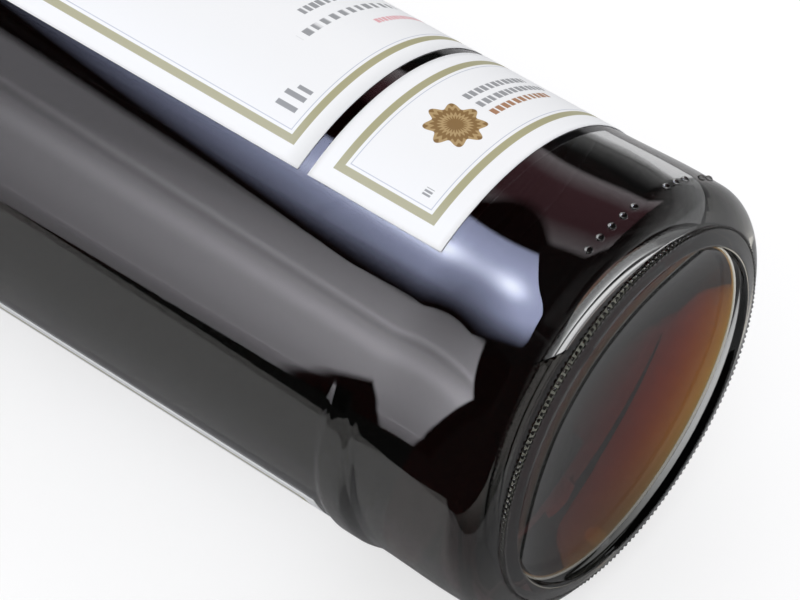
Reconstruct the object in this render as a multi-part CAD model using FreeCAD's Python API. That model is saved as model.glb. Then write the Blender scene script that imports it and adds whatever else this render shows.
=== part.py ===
import FreeCAD, Part

import math
import os

V = FreeCAD.Vector

# Bottle, mm.  It is built standing on its base along Z, then laid down on its side.
# Angles run round the bottle from the line that ends up on top.
bodyRadius = 39.0
wall = 2.6
totalLength = 304.5
heelFillet = 5.6
footBulge = 0.4
footBulgeTop = 26.0
bearingLift = 0.8
footInset = 4.9
pushUpDepth = 8.0
baseThickness = 2.5
innerCorner = 4.5
footThickness = 4.5
shoulderStart = totalLength - 133.5
shoulderRadius = bodyRadius - 5.0
shoulderTurn = 62.0
neckRadius = 15.0
neckTopRadius = neckRadius - 1.4
neckBore = neckRadius - 4.4
beadRadius = neckRadius + 0.6
beadBottom = totalLength - 41.5
beadHeight = 5.0
mouthRadius = neckRadius - 2.0
mouthTop = totalLength - 1.3

# knurled ring the bottle stands on
knurlOuter = bodyRadius - footInset
knurlInner = knurlOuter - 2.9
pushUpRadius = knurlInner - 0.6
knurlDepth = 0.5
knurlCount = 200

# two low ledges that bound the back panel, highest at the back and fading towards the front
backAngle = -155.3
ledgeRise = 0.9
ledgeFade = ledgeRise
ledgeTop = 3.1
ledgeSteep = 3.2
ledgeGentle = 5.0
lowerLedge = 32.6
upperLedge = shoulderStart - 22.4
restHeight = bodyRadius + 0.3

# marks moulded on the glass
seamAngle = 114.5
seamWidth = 0.5
seamRise = 0.12
dotHeight = 7.0
dotRadius = 0.75
dotFirst = -7.6
dotStep = 4.35
dotCode = (1, 1, 1, 1, 1, 0, 0, 1, 1, 1, 0, 1, 1)

# liqueur and its air pocket
levelHeight = 0.766 * (bodyRadius - wall)
liquidGap = 0.08

# labels
frontAngle = 24.5
frontSpan = 100.0
paper = 0.2
stripBottom = 26.3
stripTop = stripBottom + 26.5
upperBottom = stripTop + 2.0
upperTop = upperLedge - 3.6
backSpan = 90.6
backBottom = lowerLedge + 3.6
backTop = upperLedge - 3.8

# screw cap
capRadius = neckRadius - 0.2
capWall = 0.7
capBottom = beadBottom + beadHeight + 0.6
capTopThickness = 1.2
capFillet = 1.0
capGroove = 0.25
pilferLine = 8.0


def polar(radius, angle, z=0.0):
    a = math.radians(angle)
    return V(radius * math.cos(a), radius * math.sin(a), z)


def arc(a, mid, b):
    return Part.Arc(V(a[0], 0, a[1]), V(mid[0], 0, mid[1]), V(b[0], 0, b[1])).toShape()


def line(a, b):
    return Part.makeLine(V(a[0], 0, a[1]), V(b[0], 0, b[1]))


def lathe(edges):
    """Solid turned from edges of a closed profile in radius and height."""
    face = Part.Face(Part.Wire(Part.__sortEdges__(edges)))
    return face.revolve(V(0, 0, 0), V(0, 0, 1), 360)


def turned(points):
    return lathe([line(a, b) for a, b in zip(points, points[1:] + points[:1])])


def cornerArc(a, b, radius):
    """Quarter arc from a to b that bulges away from the axis and downwards."""
    centre = (b[0] - radius, b[1])
    mid = (centre[0] + radius * math.sqrt(0.5), centre[1] - radius * math.sqrt(0.5))
    return arc(a, mid, b)


def dome(rise, radius, height):
    """Shallow arc from the axis down to a rim; returns edge and both ends."""
    sphere = (radius ** 2 + rise ** 2) / (2 * rise)
    half = radius / 2
    mid = (half, height + math.sqrt(sphere ** 2 - half ** 2) - (sphere - rise))
    top, rim = (0.0, height + rise), (radius, height)
    return arc(top, mid, rim), top, rim


def shoulder(radius, neck, convex):
    """Two arcs from the straight body to the neck; returns edges and the upper end."""
    turn = math.radians(shoulderTurn)
    start = (radius, shoulderStart)

    def onConvex(t):
        return (radius - convex * (1 - math.cos(t)), shoulderStart + convex * math.sin(t))

    knee = onConvex(turn)
    hollow = (knee[0] - neck) / (1 - math.cos(turn))
    centre = (neck + hollow, knee[1] + hollow * math.sin(turn))

    def onHollow(t):
        return (centre[0] - hollow * math.cos(t), centre[1] - hollow * math.sin(t))

    end = onHollow(0.0)
    edges = [arc(start, onConvex(turn / 2), knee), arc(knee, onHollow(turn / 2), end)]
    return edges, end


def foot(start):
    """Slight swelling of the wall above the heel."""
    rise = footBulgeTop - start[1]
    rows = [start, (bodyRadius + footBulge, start[1] + 0.25 * rise)]
    rows += [(bodyRadius + 0.5 * footBulge, start[1] + 0.6 * rise), (bodyRadius, footBulgeTop)]
    spline = Part.BSplineCurve()
    points = [V(r, 0, z) for r, z in rows]
    spline.interpolate(Points=points, InitialTangent=V(0.06, 0, 1), FinalTangent=V(0, 0, 1))
    return spline.toShape()


def outerBody():
    push, top, rim = dome(pushUpDepth, pushUpRadius, bearingLift)
    heelRadius = bodyRadius + 0.75 * footBulge
    heelIn = (heelRadius - heelFillet, bearingLift)
    heelOut = (heelRadius, bearingLift + heelFillet)
    slope, neckStart = shoulder(bodyRadius, neckRadius, shoulderRadius)
    neckEnd = (neckTopRadius, beadBottom)
    bead = [
        (beadRadius, beadBottom + 1.0),
        (beadRadius, beadBottom + beadHeight - 1.0),
        (mouthRadius, beadBottom + beadHeight),
        (mouthRadius, mouthTop),
        (0.0, mouthTop),
        top,
    ]
    edges = [push, line(rim, heelIn), cornerArc(heelIn, heelOut, heelFillet)]
    edges += [foot(heelOut), line((bodyRadius, footBulgeTop), (bodyRadius, shoulderStart))]
    edges += slope + [line(neckStart, neckEnd)]
    edges += [line(a, b) for a, b in zip([neckEnd] + bead, bead)]
    return lathe(edges)


def cavity(gap, top):
    """Room inside the glass, smaller all round by the gap."""
    inner = bodyRadius - wall - gap
    floorRadius = inner - innerCorner
    floorHeight = footThickness + gap
    rise = bearingLift + pushUpDepth + baseThickness + gap - floorHeight
    push, peak, rim = dome(rise, floorRadius, floorHeight)
    sideStart = (inner, floorHeight + innerCorner)
    slope, neckStart = shoulder(inner, neckBore - gap, shoulderRadius - wall - gap)
    boreTop = [(neckBore - gap, top), (0.0, top), peak]
    edges = [push, cornerArc(rim, sideStart, innerCorner)]
    edges += [line(sideStart, (inner, shoulderStart))]
    edges += slope + [line(a, b) for a, b in zip([neckStart] + boreTop, boreTop)]
    return lathe(edges)


def knurl():
    """Ring of small pointed teeth under the base."""
    teeth = []
    for i in range(knurlCount):
        step = 360.0 / knurlCount
        teeth += [polar(knurlOuter, i * step), polar(knurlOuter - knurlDepth, (i + 0.5) * step)]
    blank = Part.Face(Part.makePolygon(teeth + teeth[:1]))
    hole = Part.makeCylinder(knurlInner, 3 * bearingLift, V(0, 0, -bearingLift))
    return blank.extrude(V(0, 0, 2 * bearingLift)).cut(hole)


def ledge(height, way):
    """Low ring set off the axis; its steep side looks along Z when way is 1."""
    crest = bodyRadius + ledgeRise - ledgeFade
    root = crest - ledgeRise
    inner = root - 1.0
    rows = [
        (inner, -ledgeTop - ledgeGentle),
        (root, -ledgeTop - ledgeGentle),
        (crest - 0.15, -ledgeTop - 0.8),
        (crest, -ledgeTop + 0.3),
        (crest, -0.5),
        (crest - 0.2, 0.1),
        (root, ledgeSteep),
        (inner, ledgeSteep),
    ]
    ring = turned([(r, height + way * z) for r, z in rows])
    ring.translate(polar(ledgeFade, backAngle))
    return ring


def seams():
    """Two fine raised lines where the halves of the mould met."""
    out = []
    for angle in (seamAngle, seamAngle + 180):
        depth = 1.0
        rib = Part.makeBox(depth, seamWidth, shoulderStart - 2 * heelFillet)
        rib.translate(V(bodyRadius + seamRise - depth, -seamWidth / 2, 2 * heelFillet))
        rib.rotate(V(0, 0, 0), V(0, 0, 1), angle)
        out.append(rib)
    return out


def dots():
    spots = [dotFirst + i * dotStep for i, on in enumerate(dotCode) if on]
    return [Part.makeSphere(dotRadius, polar(bodyRadius + 0.1, a, dotHeight)) for a in spots]


def glass():
    body = outerBody()
    body = body.fuse([knurl(), ledge(lowerLedge, 1), ledge(upperLedge, -1)])
    body = body.fuse(seams() + dots())
    body = body.cut(cavity(0.0, mouthTop + 1))
    size = 4 * bodyRadius
    below = Part.makeBox(size, size, 2 * totalLength, V(-restHeight - size, -size / 2, -size))
    return body.cut(below).removeSplitter()


def liqueur():
    fill = cavity(liquidGap, mouthTop - liquidGap)
    size = 4 * bodyRadius
    air = Part.makeBox(size, size, 2 * totalLength, V(levelHeight, -size / 2, -size))
    return fill.cut(air)


def skin(centre, span, bottom, top):
    """Sheet that lies on the body."""
    outer = Part.makeCylinder(bodyRadius + paper, top - bottom, V(0, 0, bottom), V(0, 0, 1), span)
    core = Part.makeCylinder(bodyRadius, 2 * totalLength, V(0, 0, -totalLength))
    sheet = outer.cut(core)
    sheet.rotate(V(0, 0, 0), V(0, 0, 1), centre - span / 2)
    return sheet


def cap():
    """Rolled-on cap: plain skirt, one groove above the tear line, flat top."""
    tear = capBottom + pilferLine
    return turned([
        (0.0, totalLength),
        (capRadius - capFillet, totalLength),
        (capRadius, totalLength - capFillet),
        (capRadius, tear + 2 * capGroove),
        (capRadius - capGroove, tear + capGroove),
        (capRadius - capGroove, tear - capGroove),
        (capRadius, tear - 2 * capGroove),
        (capRadius, capBottom),
        (capRadius - capWall, capBottom),
        (capRadius - capWall, totalLength - capTopThickness),
        (0.0, totalLength - capTopThickness),
    ])


def lie(shape):
    """Turn the standing bottle so that it rests on its side with the base towards +X."""
    shape.rotate(V(0, 0, 0), V(0, 1, 0), -90)
    shape.translate(V(totalLength / 2, 0, restHeight))
    return shape


os.makedirs("parts", exist_ok=True)
pieces = {
    "glass_bottle": glass(),
    "liqueur": liqueur(),
    "front_label": skin(frontAngle, frontSpan, upperBottom, upperTop),
    "strip_label": skin(frontAngle, frontSpan, stripBottom, stripTop),
    "back_label": skin(backAngle, backSpan, backBottom, backTop),
    "screw_cap": cap(),
}
for name, shape in pieces.items():
    lie(shape)
    print(name, shape.ShapeType, len(shape.Solids), shape.isValid(), round(shape.Volume), shape.BoundBox)
    shape.exportStep("parts/" + name + ".step")
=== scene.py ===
import math

import bmesh
import bpy
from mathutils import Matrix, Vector


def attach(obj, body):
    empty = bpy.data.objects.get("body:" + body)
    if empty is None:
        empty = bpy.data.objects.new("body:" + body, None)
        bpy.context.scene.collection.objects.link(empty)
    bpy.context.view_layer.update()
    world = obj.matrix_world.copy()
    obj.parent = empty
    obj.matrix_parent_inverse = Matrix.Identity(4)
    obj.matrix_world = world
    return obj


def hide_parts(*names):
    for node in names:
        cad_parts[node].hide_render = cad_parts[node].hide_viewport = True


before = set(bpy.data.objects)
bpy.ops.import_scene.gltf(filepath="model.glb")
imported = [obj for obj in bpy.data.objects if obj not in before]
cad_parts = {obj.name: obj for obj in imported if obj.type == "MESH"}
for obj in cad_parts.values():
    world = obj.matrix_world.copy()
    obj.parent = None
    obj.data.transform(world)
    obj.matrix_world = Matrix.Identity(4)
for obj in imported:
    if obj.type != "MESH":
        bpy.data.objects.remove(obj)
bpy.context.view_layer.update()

# The bottle lies along X with its base at +X.  Lengths are metres; "height" is measured
# along the bottle from its base, "angle" in degrees round it from the line on top, + towards +Y.
baseX = 0.15225
axisZ = 0.0393
bodyRadius = 0.039
wall = 0.0026
backAngle = -155.3


def place(radius, angle, height):
    # point on the lying bottle from its own cylinder coordinates
    a = math.radians(angle)
    return Vector((baseX - height, radius * math.sin(a), axisZ + radius * math.cos(a)))


def smooth(low, high, value):
    t = min(1.0, max(0.0, (value - low) / (high - low)))
    return t * t * (3 - 2 * t)


def newPiece(name, bm, *materials):
    mesh = bpy.data.meshes.new(name)
    bm.normal_update()
    bm.to_mesh(mesh)
    bm.free()
    piece = bpy.data.objects.new(name, mesh)
    bpy.context.collection.objects.link(piece)
    for material in materials:
        mesh.materials.append(material)
    return piece


def finishPiece(piece, node):
    if node:
        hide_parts(node)
    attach(piece, "root")
    return piece


def lathe(bm, profile, shape=None, steps=240, flip=False):
    # turns (radius, height) rows round the axis; ends on the axis close in one point
    rings = []
    for radius, height in profile:
        if radius < 1e-7:
            rings.append([bm.verts.new(place(0.0, 0.0, height))])
            continue
        ring = []
        for i in range(steps):
            angle = 360.0 * i / steps
            r = shape(radius, angle, height) if shape else radius
            ring.append(bm.verts.new(place(r, angle, height)))
        rings.append(ring)
    faces = []
    for a, b in zip(rings, rings[1:]):
        for i in range(steps):
            j = (i + 1) % steps
            corners = [a[i % len(a)], a[j % len(a)], b[j % len(b)], b[i % len(b)]]
            unique = list(dict.fromkeys(corners))
            if len(unique) > 2:
                faces.append(bm.faces.new(unique if flip else unique[::-1]))
    for face in faces:
        face.smooth = True
    return faces


def arcRows(centre, radius, start, end, count):
    # rows on an arc; angles in degrees from the outward direction, up positive
    out = []
    for i in range(count + 1):
        a = math.radians(start + (end - start) * i / count)
        out.append((centre[0] + radius * math.cos(a), centre[1] + radius * math.sin(a)))
    return out


def straight(a, b, count):
    along, up = b[0] - a[0], b[1] - a[1]
    return [(a[0] + along * i / count, a[1] + up * i / count) for i in range(count + 1)]


def clean(rows):
    out = [rows[0]]
    for row in rows[1:]:
        if math.dist(row, out[-1]) > 1e-6:
            out.append(row)
    return out


# shader helpers
class Tree:
    # small helper that adds nodes and links to one material's node tree

    def __init__(self, name, group=None):
        self.material = None
        if group is None:
            self.material = bpy.data.materials.new(name)
            self.material.use_nodes = True
            self.tree = self.material.node_tree
            self.shader = self.tree.nodes["Principled BSDF"]
            self.out = self.tree.nodes["Material Output"]
        else:
            self.tree = group

    def node(self, kind, inputs=None, **settings):
        n = self.tree.nodes.new(kind)
        for key, value in settings.items():
            setattr(n, key, value)
        for key, value in (inputs or {}).items():
            if isinstance(value, bpy.types.NodeSocket):
                self.tree.links.new(value, n.inputs[key])
            else:
                n.inputs[key].default_value = value
        return n

    def math(self, operation, a, b=0.0, c=0.0):
        return self.node("ShaderNodeMath", {0: a, 1: b, 2: c}, operation=operation).outputs[0]

    def mix(self, factor, a, b):
        n = self.node("ShaderNodeMix", data_type="RGBA")
        for key, value in ((0, factor), (6, a), (7, b)):
            if isinstance(value, bpy.types.NodeSocket):
                self.tree.links.new(value, n.inputs[key])
            else:
                n.inputs[key].default_value = value
        return n.outputs[2]

    def noise(self, scale, detail=2.0, vector=None, roughness=0.5):
        inputs = {"Scale": scale, "Detail": detail, "Roughness": roughness}
        if vector is not None:
            inputs["Vector"] = vector
        return self.node("ShaderNodeTexNoise", inputs).outputs["Fac"]

    def ramp(self, value, low, high):
        # 0 at low and 1 at high; falls where high is the smaller one
        limits = {0: value, 1: low, 2: high, 3: 0.0, 4: 1.0}
        return self.node("ShaderNodeMapRange", limits, clamp=True).outputs[0]

    def set(self, **values):
        for key, value in values.items():
            socket = self.shader.inputs[key.replace("_", " ")]
            if isinstance(value, bpy.types.NodeSocket):
                self.tree.links.new(value, socket)
            else:
                socket.default_value = value

    def bump(self, height, strength, distance):
        n = self.node("ShaderNodeBump", {"Height": height, "Strength": strength, "Distance": distance})
        self.tree.links.new(n.outputs[0], self.shader.inputs["Normal"])

    def absorb(self, tint, density):
        volume = self.node("ShaderNodeVolumeAbsorption", {"Color": colour(*tint), "Density": density})
        self.tree.links.new(volume.outputs[0], self.out.inputs["Volume"])


def objectPoint(tree):
    return tree.node("ShaderNodeTexCoord").outputs["Object"]


def colour(r, g, b):
    return (r, g, b, 1.0)


# glass bottle
glassValues = {
    "ior": 1.52,
    "roughness": 0.015,
    "waviness": 0.00012,
    "wavinessScale": 60.0,
    "absorption": 6.0,
    "tint": (0.80, 0.93, 0.86),
}


def glassMaterial(name, reflection):
    t = Tree(name)
    point = objectPoint(t)
    long = t.node("ShaderNodeMapping", {"Vector": point, "Scale": (0.35, 1.0, 1.0)}).outputs[0]
    wave = t.noise(glassValues["wavinessScale"], 1.0, long)
    smear = t.noise(35.0, 4.0, point, 0.6)
    rough = t.math("MULTIPLY_ADD", t.ramp(smear, 0.45, 0.8), 0.02, glassValues["roughness"])
    t.set(Base_Color=colour(1, 1, 1), Metallic=0.0, IOR=glassValues["ior"], Transmission_Weight=1.0)
    t.set(Roughness=rough, Specular_IOR_Level=reflection)
    t.bump(wave, 0.25, glassValues["waviness"])
    t.absorb(glassValues["tint"], glassValues["absorption"])
    return t.material


heelRadius = bodyRadius + 0.0003
heelFillet = 0.0056
lift = 0.0008
pushUpRadius, pushUpDepth = 0.0306, 0.008
footTop, footSwell = 0.026, 0.0004
shoulderStart = 0.171
shoulderTurn = 62.0
shoulderRadius = bodyRadius - 0.005
neckRadius, neckTopRadius, boreRadius = 0.015, 0.0136, 0.0106
neckTop, mouthTop = 0.263, 0.3032
ledges = ((0.0326, 1), (0.1486, -1))  # height, and which way along the bottle the steep side looks
ledgeRise = 0.0009
seamAngles = (114.5, -65.5)
seamRise, seamWidth = 0.00008, 0.00035
liquidLevel = 0.0279  # above the bottle's axis


def domeRows(rise, radius, height, count):
    sphere = (radius ** 2 + rise ** 2) / (2 * rise)
    out = []
    for i in range(count + 1):
        r = radius * i / count
        out.append((r, height + math.sqrt(sphere ** 2 - r ** 2) - (sphere - rise)))
    return out


def shoulderRows(radius, neck, convex, count):
    turn = math.radians(shoulderTurn)
    rows = arcRows((radius - convex, shoulderStart), convex, 0, shoulderTurn, count)
    knee = rows[-1]
    hollow = (knee[0] - neck) / (1 - math.cos(turn))
    centre = (neck + hollow, knee[1] + hollow * math.sin(turn))
    return rows + arcRows(centre, hollow, 180 + shoulderTurn, 180, count)[1:]


def footRows(count):
    # slight swelling of the wall between heel and panel
    low, high = lift + heelFillet, footTop
    out = []
    for i in range(count + 1):
        s = i / count
        if s < 0.25:
            swell = 0.0003 + 0.0001 * math.sin(s / 0.5 * math.pi)
        else:
            swell = footSwell * (1 - smooth(0.25, 1.0, s))
        out.append((bodyRadius + swell, low + (high - low) * s))
    return out


def outerRows():
    # push-up, bearing ring, heel, foot, body with finer rows at the ledges, shoulder, neck, bead, mouth
    rows = domeRows(pushUpDepth, pushUpRadius, lift, 24)
    rows += arcRows((0.0313, lift - 0.0006), 0.0007, 180, 270, 4)[1:] + [(0.0322, -0.00002), (0.0334, 0.0)]
    rows += [(0.0340, 0.00025), (0.0340, lift - 0.0001)]
    rows += arcRows((heelRadius - heelFillet, lift + heelFillet), heelFillet, -90, 0, 14)[1:]
    rows += footRows(14)[1:]
    rows += straight((bodyRadius, footTop), (bodyRadius, 0.041), 40)[1:]
    rows += straight((bodyRadius, 0.041), (bodyRadius, 0.1405), 16)[1:]
    rows += straight((bodyRadius, 0.1405), (bodyRadius, 0.1585), 40)[1:]
    rows += straight((bodyRadius, 0.1585), (bodyRadius, shoulderStart), 3)[1:]
    rows += shoulderRows(bodyRadius, neckRadius, shoulderRadius, 14)[1:]
    rows += straight(rows[-1], (neckTopRadius, neckTop), 6)[1:]
    rows += [(0.0146, neckTop), (0.0153, 0.2633), (0.0156, 0.2640)]
    rows += [(0.0156, 0.2670), (0.0152, 0.2676), (0.0130, 0.2680)]
    rows += straight((0.013, 0.268), (0.013, mouthTop), 4)[1:]
    return clean(rows + [(boreRadius, mouthTop)])


innerCorner = 0.0045
floorLow, floorTop = 0.0045, 0.0113


def innerRows(gap=0.0, top=mouthTop):
    # the room inside the glass, smaller all round by the gap
    inner = bodyRadius - wall - gap
    floorRadius = inner - innerCorner
    floorHeight = floorLow + gap
    rows = domeRows(floorTop - floorLow, floorRadius, floorHeight, 12)
    rows += arcRows((floorRadius, floorHeight + innerCorner), innerCorner, -90, 0, 12)[1:]
    rows += straight((inner, floorHeight + innerCorner), (inner, shoulderStart), 12)[1:]
    rows += shoulderRows(inner, boreRadius - gap, shoulderRadius - wall - gap, 10)[1:]
    return clean(rows + straight(rows[-1], (boreRadius - gap, top), 6)[1:])


def ledgeShape(along):
    # height of a ledge above its root, along the bottle from its steep side
    steep = smooth(0.0032, -0.0003, along)
    gentle = smooth(-0.0081, -0.0033, along)
    return min(steep, gentle)


def glassShape(radius, angle, height):
    # outer wall with ledges, seams and the flat spots it lies on
    if abs(radius - bodyRadius) > 0.00045 or height > shoulderStart:
        return radius
    away = math.cos(math.radians(angle - backAngle))
    for centre, way in ledges:
        low = bodyRadius - ledgeRise
        ring = low + ledgeRise * ledgeShape(way * (height - centre)) + ledgeRise * away
        radius = max(radius, ring)
    for seam in seamAngles:
        off = math.radians((angle - seam + 180) % 360 - 180) * bodyRadius
        radius += seamRise * math.exp(-(off / seamWidth) ** 2) * smooth(0.009, 0.014, height)
    down = -math.cos(math.radians(angle))
    if down > 0 and radius * down > axisZ:
        radius = axisZ / down
    return radius


def makeGlass():
    outside = glassMaterial("glassOutside", 0.5)
    wetSide = glassMaterial("glassWetSide", 0.04)
    bm = bmesh.new()
    lathe(bm, outerRows(), glassShape)
    inner = lathe(bm, innerRows(), None, 160, flip=True)
    for face in inner:
        centre = face.calc_center_median()
        face.material_index = 1 if centre.z - axisZ < liquidLevel else 0
    rims = [e for e in bm.edges if e.is_boundary]
    bmesh.ops.bridge_loops(bm, edges=rims)
    bmesh.ops.remove_doubles(bm, verts=bm.verts, dist=1e-7)
    bmesh.ops.recalc_face_normals(bm, faces=bm.faces)
    return finishPiece(newPiece("glassBottle", bm, outside, wetSide), "glass_bottle")


glass = makeGlass()
print("glass bottle", len(glass.data.polygons))

# liqueur
liqueurValues = {
    "ior": 1.36,
    "tint": (0.885, 0.655, 0.045),
    "absorption": 560.0,
    "intoWall": 0.0001,
}


def liqueurMaterial(name, reflection):
    t = Tree(name)
    point = objectPoint(t)
    haze = t.noise(120.0, 2.0, point)
    t.set(Base_Color=colour(1, 1, 1), Metallic=0.0, IOR=liqueurValues["ior"], Transmission_Weight=1.0)
    t.set(Roughness=t.math("MULTIPLY", haze, 0.01), Specular_IOR_Level=reflection)
    t.absorb(liqueurValues["tint"], liqueurValues["absorption"])
    return t.material


def makeLiqueur():
    bm = bmesh.new()
    top = mouthTop - 0.0001
    rows = innerRows(-liqueurValues["intoWall"], top)
    lathe(bm, rows + [(0.0, top)], None, 160)
    level = Vector((0, 0, axisZ + liquidLevel))
    geometry = bm.verts[:] + bm.edges[:] + bm.faces[:]
    upward = (0, 0, 1)
    cut = bmesh.ops.bisect_plane(bm, geom=geometry, plane_co=level, plane_no=upward, clear_outer=True)
    edges = [e for e in cut["geom_cut"] if isinstance(e, bmesh.types.BMEdge)]
    made = bmesh.ops.contextual_create(bm, geom=edges)["faces"]
    for face in made:
        face.material_index = 1
    bmesh.ops.recalc_face_normals(bm, faces=bm.faces)
    materials = liqueurMaterial("liqueurBody", 0.02), liqueurMaterial("liqueurSurface", 0.5)
    return finishPiece(newPiece("liqueurFill", bm, *materials), "liqueur")


liqueur = makeLiqueur()
print("liqueur", len(liqueur.data.polygons))

# labels
labelValues = {
    "paper": (0.91, 0.92, 0.945),
    "gold": (0.42, 0.40, 0.24),
    "hairline": (0.42, 0.46, 0.58),
    "brown": (0.26, 0.15, 0.045),
    "grey": (0.33, 0.34, 0.36),
    "pink": (0.80, 0.42, 0.46),
    "inset": 3.0,
    "band": 1.4,
    "hairlineInset": 4.95,
    "hairlineWidth": 0.16,
    "thickness": 0.00015,
}
frontCentre = 24.5
mmPerDegree = bodyRadius * 1000 * math.pi / 180


def labelPointGroup():
    # distance round the bottle and height above its base, both in mm, from a point
    group = bpy.data.node_groups.new("labelPoint", "ShaderNodeTree")
    for name, kind, side in (("Point", "NodeSocketVector", "INPUT"), ("Centre", "NodeSocketFloat", "INPUT"),
                             ("Across", "NodeSocketFloat", "OUTPUT"), ("Up", "NodeSocketFloat", "OUTPUT")):
        group.interface.new_socket(name, in_out=side, socket_type=kind)
    t = Tree("", group)
    entry = t.node("NodeGroupInput")
    leave = t.node("NodeGroupOutput")
    parts = t.node("ShaderNodeSeparateXYZ", {0: entry.outputs["Point"]})
    side = t.math("SUBTRACT", parts.outputs[2], axisZ)
    turn = t.math("MULTIPLY", t.math("ARCTAN2", parts.outputs[1], side), 180 / math.pi)
    off = t.math("SUBTRACT", turn, entry.outputs["Centre"])
    wrapped = t.math("WRAP", off, 180.0, -180.0)
    group.links.new(t.math("MULTIPLY", wrapped, mmPerDegree), leave.inputs["Across"])
    group.links.new(t.math("MULTIPLY_ADD", parts.outputs[0], -1000.0, baseX * 1000), leave.inputs["Up"])
    return group


labelPoint = labelPointGroup()


def inside(t, value, low, high, blur=0.05):
    # 1 between low and high, with soft edges
    up = t.ramp(value, low - blur, low + blur)
    down = t.ramp(value, high + blur, high - blur)
    return t.math("MULTIPLY", up, down)


def boxMask(t, across, up, centre, size, blur=0.05):
    a = inside(t, across, centre[0] - size[0] / 2, centre[0] + size[0] / 2, blur)
    b = inside(t, up, centre[1] - size[1] / 2, centre[1] + size[1] / 2, blur)
    return t.math("MULTIPLY", a, b)


def edgeDistance(t, across, up, left, right, bottom, top):
    a = t.math("MINIMUM", t.math("SUBTRACT", across, left), t.math("SUBTRACT", right, across))
    b = t.math("MINIMUM", t.math("SUBTRACT", up, bottom), t.math("SUBTRACT", top, up))
    return t.math("MINIMUM", a, b)


def dashes(t, across, up, start, end, height, base, pitch, fill, seed):
    # a row of short strokes that stands for a line of print
    row = inside(t, up, base, base + height, 0.08)
    span = inside(t, across, start, end, 0.05)
    wobble = t.noise(0.9, 0.0, t.node("ShaderNodeCombineXYZ", {0: across, 1: seed, 2: 0.0}).outputs[0])
    phase = t.math("FRACT", t.math("MULTIPLY_ADD", across, 1.0 / pitch, t.math("MULTIPLY", wobble, 0.5)))
    stroke = t.ramp(phase, fill + 0.08, fill - 0.08)
    return t.math("MULTIPLY", t.math("MULTIPLY", row, span), stroke)


def rosette(t, across, up, centre, radius):
    # round ornament of petals, rings and a dot; returns mask and inner shade
    x = t.math("SUBTRACT", across, centre[0])
    y = t.math("SUBTRACT", up, centre[1])
    r = t.math("POWER", t.math("ADD", t.math("MULTIPLY", x, x), t.math("MULTIPLY", y, y)), 0.5)
    turn = t.math("ARCTAN2", y, x)
    petals = t.math("COSINE", t.math("MULTIPLY", turn, 8.0))
    rim = t.math("MULTIPLY_ADD", petals, 0.13 * radius, 0.87 * radius)
    mask = t.ramp(t.math("SUBTRACT", rim, r), -0.06, 0.06)
    fine = t.math("COSINE", t.math("MULTIPLY", turn, 24.0))
    rings = t.math("COSINE", t.math("MULTIPLY_ADD", r, 5.2 / radius * 3.0, t.math("MULTIPLY", fine, 1.1)))
    light = t.ramp(rings, -0.1, 0.5)
    core = t.ramp(t.math("SUBTRACT", 0.2 * radius, r), -0.05, 0.05)
    return mask, t.math("MULTIPLY", light, t.math("SUBTRACT", 1.0, core))


def paperMaterial(name, centre, span, bottom, top, bottomInset, prints):
    v = labelValues
    t = Tree(name)
    point = objectPoint(t)
    spot = t.node("ShaderNodeGroup", {}, node_tree=labelPoint)
    t.tree.links.new(point, spot.inputs["Point"])
    spot.inputs["Centre"].default_value = centre
    across, up = spot.outputs["Across"], spot.outputs["Up"]
    half = span / 2 * mmPerDegree
    fibre = t.noise(900.0, 3.0, point, 0.6)
    mottle = t.noise(45.0, 2.0, point)
    face = t.mix(t.math("MULTIPLY", mottle, 0.04), colour(*v["paper"]), colour(0.84, 0.85, 0.88))
    extra = bottomInset - v["inset"]
    d = edgeDistance(t, across, up, -half, half, bottom + extra, top)
    band = inside(t, d, v["inset"], v["inset"] + v["band"])
    hair = inside(t, d, v["hairlineInset"], v["hairlineInset"] + v["hairlineWidth"], 0.04)
    face = t.mix(band, face, colour(*v["gold"]))
    face = t.mix(t.math("MULTIPLY", hair, 0.75), face, colour(*v["hairline"]))
    for mask, ink in prints(t, across, up):
        face = t.mix(mask, face, colour(*ink))
    rough = t.math("MULTIPLY_ADD", fibre, 0.12, 0.42)
    rough = t.math("SUBTRACT", rough, t.math("MULTIPLY", band, 0.12))
    t.set(Base_Color=face, Roughness=rough, Metallic=0.0, Specular_IOR_Level=0.35)
    t.bump(fibre, 0.12, 0.00004)
    return t.material


def stripPrints(t, across, up):
    # ornament at the left, three rows of print beside it and a tiny mark in the corner
    v = labelValues
    mask, light = rosette(t, across, up, (-13.3, 39.3), 5.2)
    pale = t.math("MULTIPLY", mask, light)
    return [
        (mask, v["brown"]),
        (t.math("MULTIPLY", pale, 0.55), (0.62, 0.45, 0.22)),
        (dashes(t, across, up, -7.0, 11.0, 1.5, 41.7, 1.55, 0.72, 1.0), v["grey"]),
        (dashes(t, across, up, -7.0, 13.0, 1.5, 39.0, 1.55, 0.72, 2.0), v["grey"]),
        (dashes(t, across, up, -7.0, 10.0, 1.5, 36.3, 1.55, 0.72, 3.0), (0.42, 0.22, 0.12)),
        (dashes(t, across, up, -27.6, -26.0, 1.5, 33.4, 0.7, 0.6, 4.0), v["grey"]),
    ]


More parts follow.
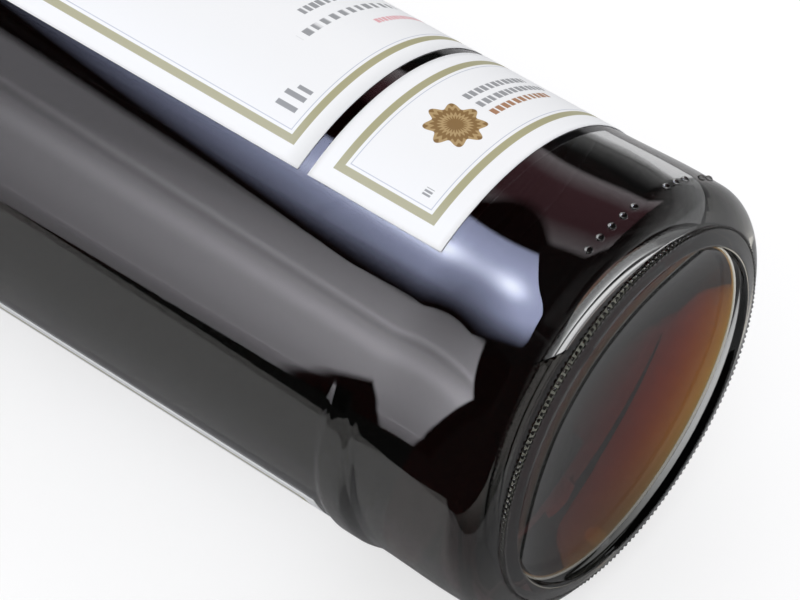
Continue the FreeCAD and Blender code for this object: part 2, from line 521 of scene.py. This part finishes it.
def frontPrints(t, across, up):
    # three plain bars stand for figures; then print rows, a framed red panel and an ornament
    v = labelValues
    return [
        (boxMask(t, across, up, (-25.9, 63.3), (1.0, 4.0)), v["grey"]),
        (boxMask(t, across, up, (-23.6, 63.3), (1.0, 4.0)), v["grey"]),
        (boxMask(t, across, up, (-21.9, 62.7), (0.8, 2.8)), v["grey"]),
        (dashes(t, across, up, -13.5, 13.5, 1.7, 70.0, 2.3, 0.5, 5.0), v["grey"]),
        (dashes(t, across, up, -8.0, 8.0, 1.7, 74.3, 1.6, 0.7, 6.0), v["grey"]),
        (dashes(t, across, up, 0.5, 16.0, 1.3, 65.6, 1.1, 0.75, 7.0), v["pink"]),
        (boxMask(t, across, up, (0.0, 106.0), (40.0, 13.0), 0.1), v["gold"]),
        (boxMask(t, across, up, (0.0, 106.0), (38.6, 11.6), 0.1), v["paper"]),
        (boxMask(t, across, up, (0.0, 106.0), (30.0, 6.0), 0.1), (0.42, 0.08, 0.07)),
        (dashes(t, across, up, -16.0, 16.0, 2.2, 90.0, 2.4, 0.72, 8.0), v["grey"]),
        (rosette(t, across, up, (0.0, 125.0), 7.0)[0], v["brown"]),
    ]


def backPrints(t, across, up):
    # two paragraphs and an empty frame
    v = labelValues
    rows = []
    for i in range(9):
        end = 7.0 if i in (3, 8) else 17.0  # the last line of a paragraph is short
        row = dashes(t, across, up, -17.0, end, 1.2, 128.0 - 4.2 * i, 1.5, 0.74, 20.0 + i)
        rows.append((row, v["grey"]))
    rows.append((boxMask(t, across, up, (0.0, 66.0), (26.0, 14.0), 0.1), (0.88, 0.86, 0.80)))
    rows.append((boxMask(t, across, up, (0.0, 66.0), (24.6, 12.6), 0.1), v["paper"]))
    return rows


def sheet(name, node, material, first, last, bottom, top):
    # curved sheet round the body between two angles and two heights
    bm = bmesh.new()
    columns, rows = 64, 24
    low = bodyRadius + 0.00003  # a hair off the glass
    heights = [bottom + (top - bottom) * j / rows for j in range(rows + 1)]
    grid = []
    for i in range(columns + 1):
        angle = first + (last - first) * i / columns
        column = []
        for layer in (low, low + labelValues["thickness"]):
            column.append([bm.verts.new(place(layer, angle, height)) for height in heights])
        grid.append(column)
    for a, b in zip(grid, grid[1:]):
        for j in range(rows):
            bm.faces.new((a[1][j], b[1][j], b[1][j + 1], a[1][j + 1]))
            bm.faces.new((a[0][j], a[0][j + 1], b[0][j + 1], b[0][j]))
        for j in (0, rows):
            bm.faces.new((a[0][j], b[0][j], b[1][j], a[1][j]))
    for column in (grid[0], grid[-1]):
        for j in range(rows):
            bm.faces.new((column[0][j], column[1][j], column[1][j + 1], column[0][j + 1]))
    bmesh.ops.recalc_face_normals(bm, faces=bm.faces)
    for face in bm.faces:
        face.smooth = face.calc_area() > 1e-7
    return finishPiece(newPiece(name, bm, material), node)


def makePaper(name, node, centre, span, bottom, top, bottomInset, prints):
    # one label; span in degrees round the bottle, bottom and top in mm above its base
    material = paperMaterial(name + "Paper", centre, span, bottom, top, bottomInset, prints)
    first, last = centre - span / 2, centre + span / 2
    return sheet(name + "Label", node, material, first, last, bottom / 1000, top / 1000)


strip = makePaper("strip", "strip_label", frontCentre, 100.0, 26.3, 52.8, 3.5, stripPrints)
front = makePaper("front", "front_label", frontCentre, 100.0, 54.8, 145.0, 3.0, frontPrints)
back = makePaper("back", "back_label", backAngle, 90.6, 36.2, 144.8, 3.0, backPrints)
print("labels done")

# screw cap
capValues = {
    "lacquer": (0.30, 0.25, 0.10),
    "roughness": 0.34,
    "ribs": 72,
}


def capMaterial():
    t = Tree("capLacquer")
    point = objectPoint(t)
    brushed = t.node("ShaderNodeMapping", {"Vector": point, "Scale": (18.0, 1.0, 1.0)}).outputs[0]
    grain = t.noise(160.0, 3.0, brushed, 0.6)
    face = t.mix(t.math("MULTIPLY", grain, 0.35), colour(*capValues["lacquer"]), colour(0.20, 0.165, 0.06))
    rough = t.math("MULTIPLY_ADD", grain, 0.16, capValues["roughness"] - 0.08)
    t.set(Base_Color=face, Metallic=0.85, Roughness=rough)
    t.bump(grain, 0.1, 0.00005)
    return t.material


capTop = 0.3045


def makeCap(material):
    # skirt with a groove above the tear line, a recess for the ribs and a rounded top
    outside = 0.0148
    bottom, top = 0.2686, capTop
    tear = bottom + 0.008
    groove = outside - 0.00025
    bm = bmesh.new()
    rows = [(outside - 0.0007, bottom), (outside - 0.0001, bottom), (outside, bottom + 0.0001)]
    rows += [(outside, tear - 0.0005), (groove, tear - 0.00025), (groove, tear + 0.00025)]
    rows += [(outside, tear + 0.0005), (outside, top - 0.0110), (outside - 0.0002, top - 0.0106)]
    rows += [(outside - 0.0002, top - 0.0016)]
    rows += arcRows((outside - 0.0010, top - 0.0010), 0.0010, 0, 90, 6)
    rows += [(0.0, top)]
    inner = [(outside - 0.0007, bottom), (outside - 0.0007, top - 0.0012), (0.0, top - 0.0012)]
    lathe(bm, clean(rows), None, 128)
    lathe(bm, inner, None, 128, flip=True)
    bmesh.ops.remove_doubles(bm, verts=bm.verts, dist=1e-7)
    bmesh.ops.recalc_face_normals(bm, faces=bm.faces)
    return finishPiece(newPiece("screwCap", bm, material), "screw_cap")


capSurface = capMaterial()
cap = makeCap(capSurface)
print("screw cap done")


# small repeated parts: bearing-ring teeth, code dots, cap ribs
def ringGroup():
    # copies of a small rod or bead on an arc round the bottle's axis
    group = bpy.data.node_groups.new("ringOfParts", "GeometryNodeTree")
    face = group.interface
    face.new_socket("Geometry", in_out="OUTPUT", socket_type="NodeSocketGeometry")
    wanted = (("Count", "NodeSocketInt", 12), ("First", "NodeSocketFloat", 0.0),
              ("Step", "NodeSocketFloat", 30.0),
              ("Ring radius", "NodeSocketFloat", 0.03), ("Height", "NodeSocketFloat", 0.0),
              ("Thickness", "NodeSocketFloat", 0.001), ("Length", "NodeSocketFloat", 0.003),
              ("Along axis", "NodeSocketBool", False), ("Bead", "NodeSocketBool", False),
              ("Unevenness", "NodeSocketFloat", 0.0), ("Seed", "NodeSocketInt", 3))
    for name, kind, value in wanted:
        face.new_socket(name, in_out="INPUT", socket_type=kind).default_value = value
    face.new_socket("Material", in_out="INPUT", socket_type="NodeSocketMaterial")
    t = Tree("", group)
    entry = t.node("NodeGroupInput").outputs
    leave = t.node("NodeGroupOutput")
    line = t.node("GeometryNodeMeshLine", {"Count": entry["Count"]})
    index = t.node("GeometryNodeInputIndex").outputs[0]
    turn = t.math("RADIANS", t.math("MULTIPLY_ADD", index, entry["Step"], entry["First"]))
    draw = {2: -1.0, 3: 1.0, "Seed": entry["Seed"]}
    jitter = t.node("FunctionNodeRandomValue", draw, data_type="FLOAT").outputs[1]
    radius = t.math("ADD", t.math("MULTIPLY", jitter, entry["Unevenness"]), entry["Ring radius"])
    sine, cosine = t.math("SINE", turn), t.math("COSINE", turn)
    x = t.math("SUBTRACT", baseX, entry["Height"])
    y = t.math("MULTIPLY", radius, sine)
    z = t.math("MULTIPLY_ADD", radius, cosine, axisZ)
    spot = t.node("ShaderNodeCombineXYZ", {0: x, 1: y, 2: z}).outputs[0]
    moved = t.node("GeometryNodeSetPosition", {"Geometry": line.outputs[0], "Position": spot})
    outward = t.node("ShaderNodeCombineXYZ", {0: 0.0, 1: sine, 2: cosine}).outputs[0]
    ways = {0: entry["Along axis"], 1: outward, 2: (1.0, 0.0, 0.0)}
    along = t.node("GeometryNodeSwitch", ways, input_type="VECTOR")
    aim = t.node("FunctionNodeAlignEulerToVector", {"Vector": along.outputs[0]}, axis="Z")
    rodSizes = {"Vertices": 8, "Radius": entry["Thickness"], "Depth": entry["Length"]}
    rod = t.node("GeometryNodeMeshCylinder", rodSizes)
    bead = t.node("GeometryNodeMeshIcoSphere", {"Radius": entry["Thickness"], "Subdivisions": 3})
    shapes = {0: entry["Bead"], 1: rod.outputs[0], 2: bead.outputs[0]}
    shape = t.node("GeometryNodeSwitch", shapes, input_type="GEOMETRY")
    placed = {"Points": moved.outputs[0], "Instance": shape.outputs[0], "Rotation": aim.outputs[0]}
    copies = t.node("GeometryNodeInstanceOnPoints", placed)
    real = t.node("GeometryNodeRealizeInstances", {0: copies.outputs[0]})
    shaded = t.node("GeometryNodeSetShadeSmooth", {0: real.outputs[0]})
    paint = {"Geometry": shaded.outputs[0], "Material": entry["Material"]}
    painted = t.node("GeometryNodeSetMaterial", paint)
    group.links.new(painted.outputs[0], leave.inputs[0])
    return group


ringOfParts = ringGroup()


def ringPiece(name, material, runs, node=None):
    # one piece made of one or more arcs of copies
    bm = bmesh.new()
    for run in runs:
        carrier = bpy.data.objects.new(name + "Carrier", bpy.data.meshes.new(name + "Carrier"))
        bpy.context.collection.objects.link(carrier)
        modifier = carrier.modifiers.new("ring", "NODES")
        modifier.node_group = ringOfParts
        keys = {s.name: s.identifier for s in ringOfParts.interface.items_tree if s.in_out == "INPUT"}
        for key, value in {**run, "Material": material}.items():
            modifier[keys[key]] = value
        graph = bpy.context.evaluated_depsgraph_get()
        made = bpy.data.meshes.new_from_object(carrier.evaluated_get(graph), depsgraph=graph)
        bm.from_mesh(made)
        carrier.modifiers.remove(modifier)
        bpy.data.objects.remove(carrier)
    for face in bm.faces:
        face.smooth = True
    return finishPiece(newPiece(name, bm, material), node)


teethValues = {
    "Count": 200, "First": 0.0, "Step": 1.8, "Ring radius": 0.03372, "Height": 0.00040,
    "Thickness": 0.00034, "Length": 0.0009, "Unevenness": 0.00006, "Seed": 4,
}
dotValues = {"Step": 4.35, "Ring radius": 0.0391, "Height": 0.0070, "Thickness": 0.00075, "Bead": True}
dotFirst = -7.6
dotRuns = ((5, 0), (3, 7), (2, 11))  # dots in a run, and the places before it
ribValues = {
    "Count": capValues["ribs"], "Step": 360.0 / capValues["ribs"], "Ring radius": 0.01462,
    "Height": capTop - 0.0061, "Thickness": 0.00028, "Length": 0.0088, "Along axis": True,
}


def codeRun(count, skip):
    return {**dotValues, "Count": count, "First": dotFirst + dotValues["Step"] * skip}


moulded = glassMaterial("glassMoulded", 0.5)
teeth = ringPiece("knurlTeeth", moulded, [teethValues])
codeDots = ringPiece("codeDots", moulded, [codeRun(*run) for run in dotRuns])
capRibs = ringPiece("capRibs", capSurface, [ribValues])
print("small parts", len(teeth.data.polygons), len(codeDots.data.polygons), len(capRibs.data.polygons))

# floor, light and camera

stageValues = {
    "floor": (0.42, 0.42, 0.43),
    "floorSeen": 0.63,
    "floorThroughGlass": 0.16,
    # painted glow of the floor just behind the bottle, seen only in reflections
    "floorBehindPaintedGlow": 0.15,
    "cameraWhite": 1.0,
    "ambient": 1.02,
    "glossy": 0.02,
    "seenThrough": 0.35,
}


def floorMaterial():
    # brighter for the camera than in reflections, where painted shade darkens it far behind and a painted
    # glow lights it just behind the bottle; through glass a painted shadow darkens it just beyond the base,
    # elsewhere a little brighter
    t = Tree("floorPaper")
    point = objectPoint(t)
    grain = t.noise(30.0, 3.0, point)
    shade = t.mix(t.math("MULTIPLY", grain, 0.03), colour(*stageValues["floor"]), colour(0.38, 0.38, 0.39))
    path = t.node("ShaderNodeLightPath").outputs
    spot = t.node("ShaderNodeSeparateXYZ", {0: point}).outputs
    # painted shade: in reflections the floor darkens towards the far side
    paintedFarShade = t.math("MULTIPLY", path["Is Glossy Ray"], t.ramp(spot[1], 0.10, 0.90))
    # painted glow: in reflections the floor just behind the bottle lights up
    paintedGlowBehind = t.math("SUBTRACT", t.ramp(spot[1], 0.0, 0.12), paintedFarShade)
    # painted shadow: through glass the floor is dark in a strip just beyond the base
    paintedShadowBeyondBase = t.math("MULTIPLY", t.ramp(spot[0], 0.13, 0.17), t.ramp(spot[0], 0.22, 0.18))
    dark = t.math("MULTIPLY_ADD", path["Is Transmission Ray"], paintedShadowBeyondBase, paintedFarShade)
    # the painted shade and the painted shadow pull the floor colour towards dark grey
    shade = t.mix(dark, shade, colour(0.10, 0.10, 0.10))
    glow = t.math("MULTIPLY", path["Is Camera Ray"], stageValues["floorSeen"])
    through = t.math("MULTIPLY", path["Is Transmission Ray"], t.math("SUBTRACT", 1.0, paintedShadowBeyondBase))
    glow = t.math("MULTIPLY_ADD", through, stageValues["floorThroughGlass"], glow)
    back = t.math("MULTIPLY", paintedGlowBehind, stageValues["floorBehindPaintedGlow"])
    glow = t.math("MULTIPLY_ADD", path["Is Glossy Ray"], back, glow)
    t.set(Base_Color=shade, Roughness=0.9, Specular_IOR_Level=0.0)
    t.set(Emission_Color=t.mix(glow, colour(0, 0, 0), colour(1, 1, 1)), Emission_Strength=1.0)
    return t.material


def makeFloor():
    bm = bmesh.new()
    corners = [(-0.9, -0.50), (0.06, -0.14), (0.9, 0.26), (0.9, 1.1), (-0.9, 1.1)]
    bm.faces.new([bm.verts.new((x, y, 0.0)) for x, y in corners])
    floor = newPiece("floor", bm, floorMaterial())
    return floor


def direction(azimuth, elevation):
    # unit arrow; azimuth from -Y towards +X, both in degrees
    a, e = math.radians(azimuth), math.radians(elevation)
    return Vector((math.sin(a) * math.cos(e), -math.cos(a) * math.cos(e), math.sin(e)))


def softCard(name, azimuth, elevation, distance, size, radiance, shade):
    # glowing studio card that faces the bottle; shade gives its colour from -0.5 to 0.5 across and up
    away = direction(azimuth, elevation)
    t = Tree(name + "Glow")
    parts = t.node("ShaderNodeSeparateXYZ", {0: objectPoint(t)}).outputs
    across = t.math("DIVIDE", parts[0], size[0])
    up = t.math("DIVIDE", parts[1], size[1])
    t.set(Base_Color=colour(0, 0, 0), Roughness=1.0, Specular_IOR_Level=0.0)
    t.set(Emission_Color=shade(t, across, up), Emission_Strength=radiance)
    bm = bmesh.new()
    w, h = size[0] / 2, size[1] / 2
    bm.faces.new([bm.verts.new((x, y, 0.0)) for x, y in ((-w, -h), (w, -h), (w, h), (-w, h))])
    card = newPiece(name, bm, t.material)
    card.location = Vector((0.09, -0.02, 0.06)) + away * distance
    card.rotation_euler = away.to_track_quat("-Z", "Y").to_euler()
    card.visible_camera = False
    card.visible_transmission = False
    card.visible_shadow = False
    card.visible_diffuse = False
    return card


def bell(t, value, centre, width):
    # soft hump of height 1
    off = t.math("DIVIDE", t.math("SUBTRACT", value, centre), width)
    return t.math("EXPONENT", t.math("MULTIPLY", t.math("MULTIPLY", off, off), -1.0))


def keyShade(t, across, up):
    # brighter upwards and towards its own -X side, with one broad hump, a dip and two thin bright lines
    humps = ((0.075, 0.06, 0.18), (0.203, 0.02, -0.10), (0.252, 0.018, 0.17), (-0.373, 0.012, 0.08))
    up = t.math("MULTIPLY", up, 1.088)  # height of the card over that of its pattern
    level = t.math("MULTIPLY_ADD", t.ramp(up, -0.56, 0.12), 0.44, 0.14)
    for centre, width, height in humps:
        level = t.math("MULTIPLY_ADD", bell(t, up, centre, width), height, level)
    level = t.math("MULTIPLY", level, t.ramp(up, 0.52, 0.46))
    level = t.math("MULTIPLY", level, t.math("MULTIPLY_ADD", t.ramp(across, -0.12, -0.44), 0.75, 0.35))
    rise = t.math("MAXIMUM", t.math("SUBTRACT", up, 0.14), 0.0)
    edge = t.math("MULTIPLY_ADD", rise, -0.6, across)
    level = t.math("MULTIPLY", level, t.ramp(edge, -0.445, -0.435))
    return t.mix(level, colour(0, 0, 0), colour(0.95, 0.93, 1.0))


def coolShade(t, across, up):
    # one hot spot in a wide pool that fades to both sides
    x = t.math("DIVIDE", t.math("ADD", across, 0.062), 0.080)
    y = t.math("DIVIDE", t.math("SUBTRACT", up, 0.21), 0.16)
    off = t.math("ADD", t.math("MULTIPLY", x, x), t.math("MULTIPLY", y, y))
    hot = t.math("EXPONENT", t.math("MULTIPLY", off, -1.0))
    level = t.math("MULTIPLY", t.ramp(up, -0.45, 0.22), t.ramp(across, 0.60, 0.06))
    sides = t.math("MULTIPLY", t.ramp(across, -0.50, -0.28), t.ramp(across, 0.27, 0.23))
    level = t.math("MULTIPLY", level, sides)
    level = t.math("MULTIPLY_ADD", level, 0.45, t.math("MULTIPLY", hot, 0.62))
    return t.mix(level, colour(0, 0, 0), t.mix(hot, colour(0.62, 0.68, 1.0), colour(0.80, 0.85, 1.0)))


def wineShade(t, across, up):
    # dark wine-red middle between two paler rims
    side = t.math("ADD", across, t.math("MULTIPLY", up, 0.19))
    edge = t.math("MULTIPLY", t.ramp(side, -0.32, -0.28), inside(t, up, -0.46, 0.46, 0.04))
    rim = t.ramp(t.math("ABSOLUTE", up), 0.18, 0.45)
    tint = t.mix(rim, colour(0.22, 0.10, 0.12), colour(0.72, 0.66, 0.69))
    return t.mix(edge, colour(0, 0, 0), tint)


def makeWorld():
    world = bpy.data.worlds.new("studio")
    world.use_nodes = True
    bpy.context.scene.world = world
    t = Tree("", world.node_tree)
    for n in list(t.tree.nodes):
        t.tree.nodes.remove(n)
    path = t.node("ShaderNodeLightPath").outputs
    v = stageValues
    aim = t.node("ShaderNodeSeparateXYZ", {0: t.node("ShaderNodeTexCoord").outputs["Generated"]}).outputs
    bright = t.math("MULTIPLY", t.ramp(aim[2], 0.20, -0.05), t.ramp(aim[1], -0.15, 0.10))
    seen = t.math("MULTIPLY_ADD", bright, v["seenThrough"] - v["glossy"], v["glossy"])
    # a ray through glass counts as glossy too, so each kind replaces the one before
    kinds = {"Is Glossy Ray": v["glossy"], "Is Transmission Ray": seen, "Is Camera Ray": v["cameraWhite"]}
    level = v["ambient"]
    for kind, target in kinds.items():
        level = t.node("ShaderNodeMix", {0: path[kind], 2: level, 3: target}).outputs[0]
    sky = t.node("ShaderNodeBackground", {"Color": colour(1.0, 1.0, 1.0), "Strength": level})
    out = t.node("ShaderNodeOutputWorld")
    t.tree.links.new(sky.outputs[0], out.inputs[0])


cameraValues = {
    "aim": (0.1138, -0.0116, 0.0508),
    "azimuth": 38.59,
    "elevation": 47.84,
    "distance": 0.571,
    "lens": 160.4,
}


def makeCamera():
    v = cameraValues
    back = direction(v["azimuth"], v["elevation"])
    data = bpy.data.cameras.new("camera")
    data.sensor_width = 36.0
    data.lens = v["lens"]
    data.clip_start, data.clip_end = 0.01, 50.0
    camera = bpy.data.objects.new("camera", data)
    camera.location = Vector(v["aim"]) + back * v["distance"]
    camera.rotation_euler = (-back).to_track_quat("-Z", "Y").to_euler()
    bpy.context.collection.objects.link(camera)
    bpy.context.scene.camera = camera


# azimuth, elevation, distance, size and radiance of each card
cardValues = {
    "key": (-50.0, 17.0, 1.1, (1.30, 1.36), 9.3),
    "cool": (-73.0, 61.0, 1.0, (1.0, 0.36), 23.0),
    "back": (-160.0, 46.0, 1.0, (0.74, 0.86), 2.0),
}
floor = makeFloor()
makeWorld()
softCard("keyCard", *cardValues["key"], keyShade)
softCard("coolCard", *cardValues["cool"], coolShade)
softCard("backCard", *cardValues["back"], wineShade)
makeCamera()
scene = bpy.context.scene
scene.view_settings.view_transform = "Standard"

print("stage done")
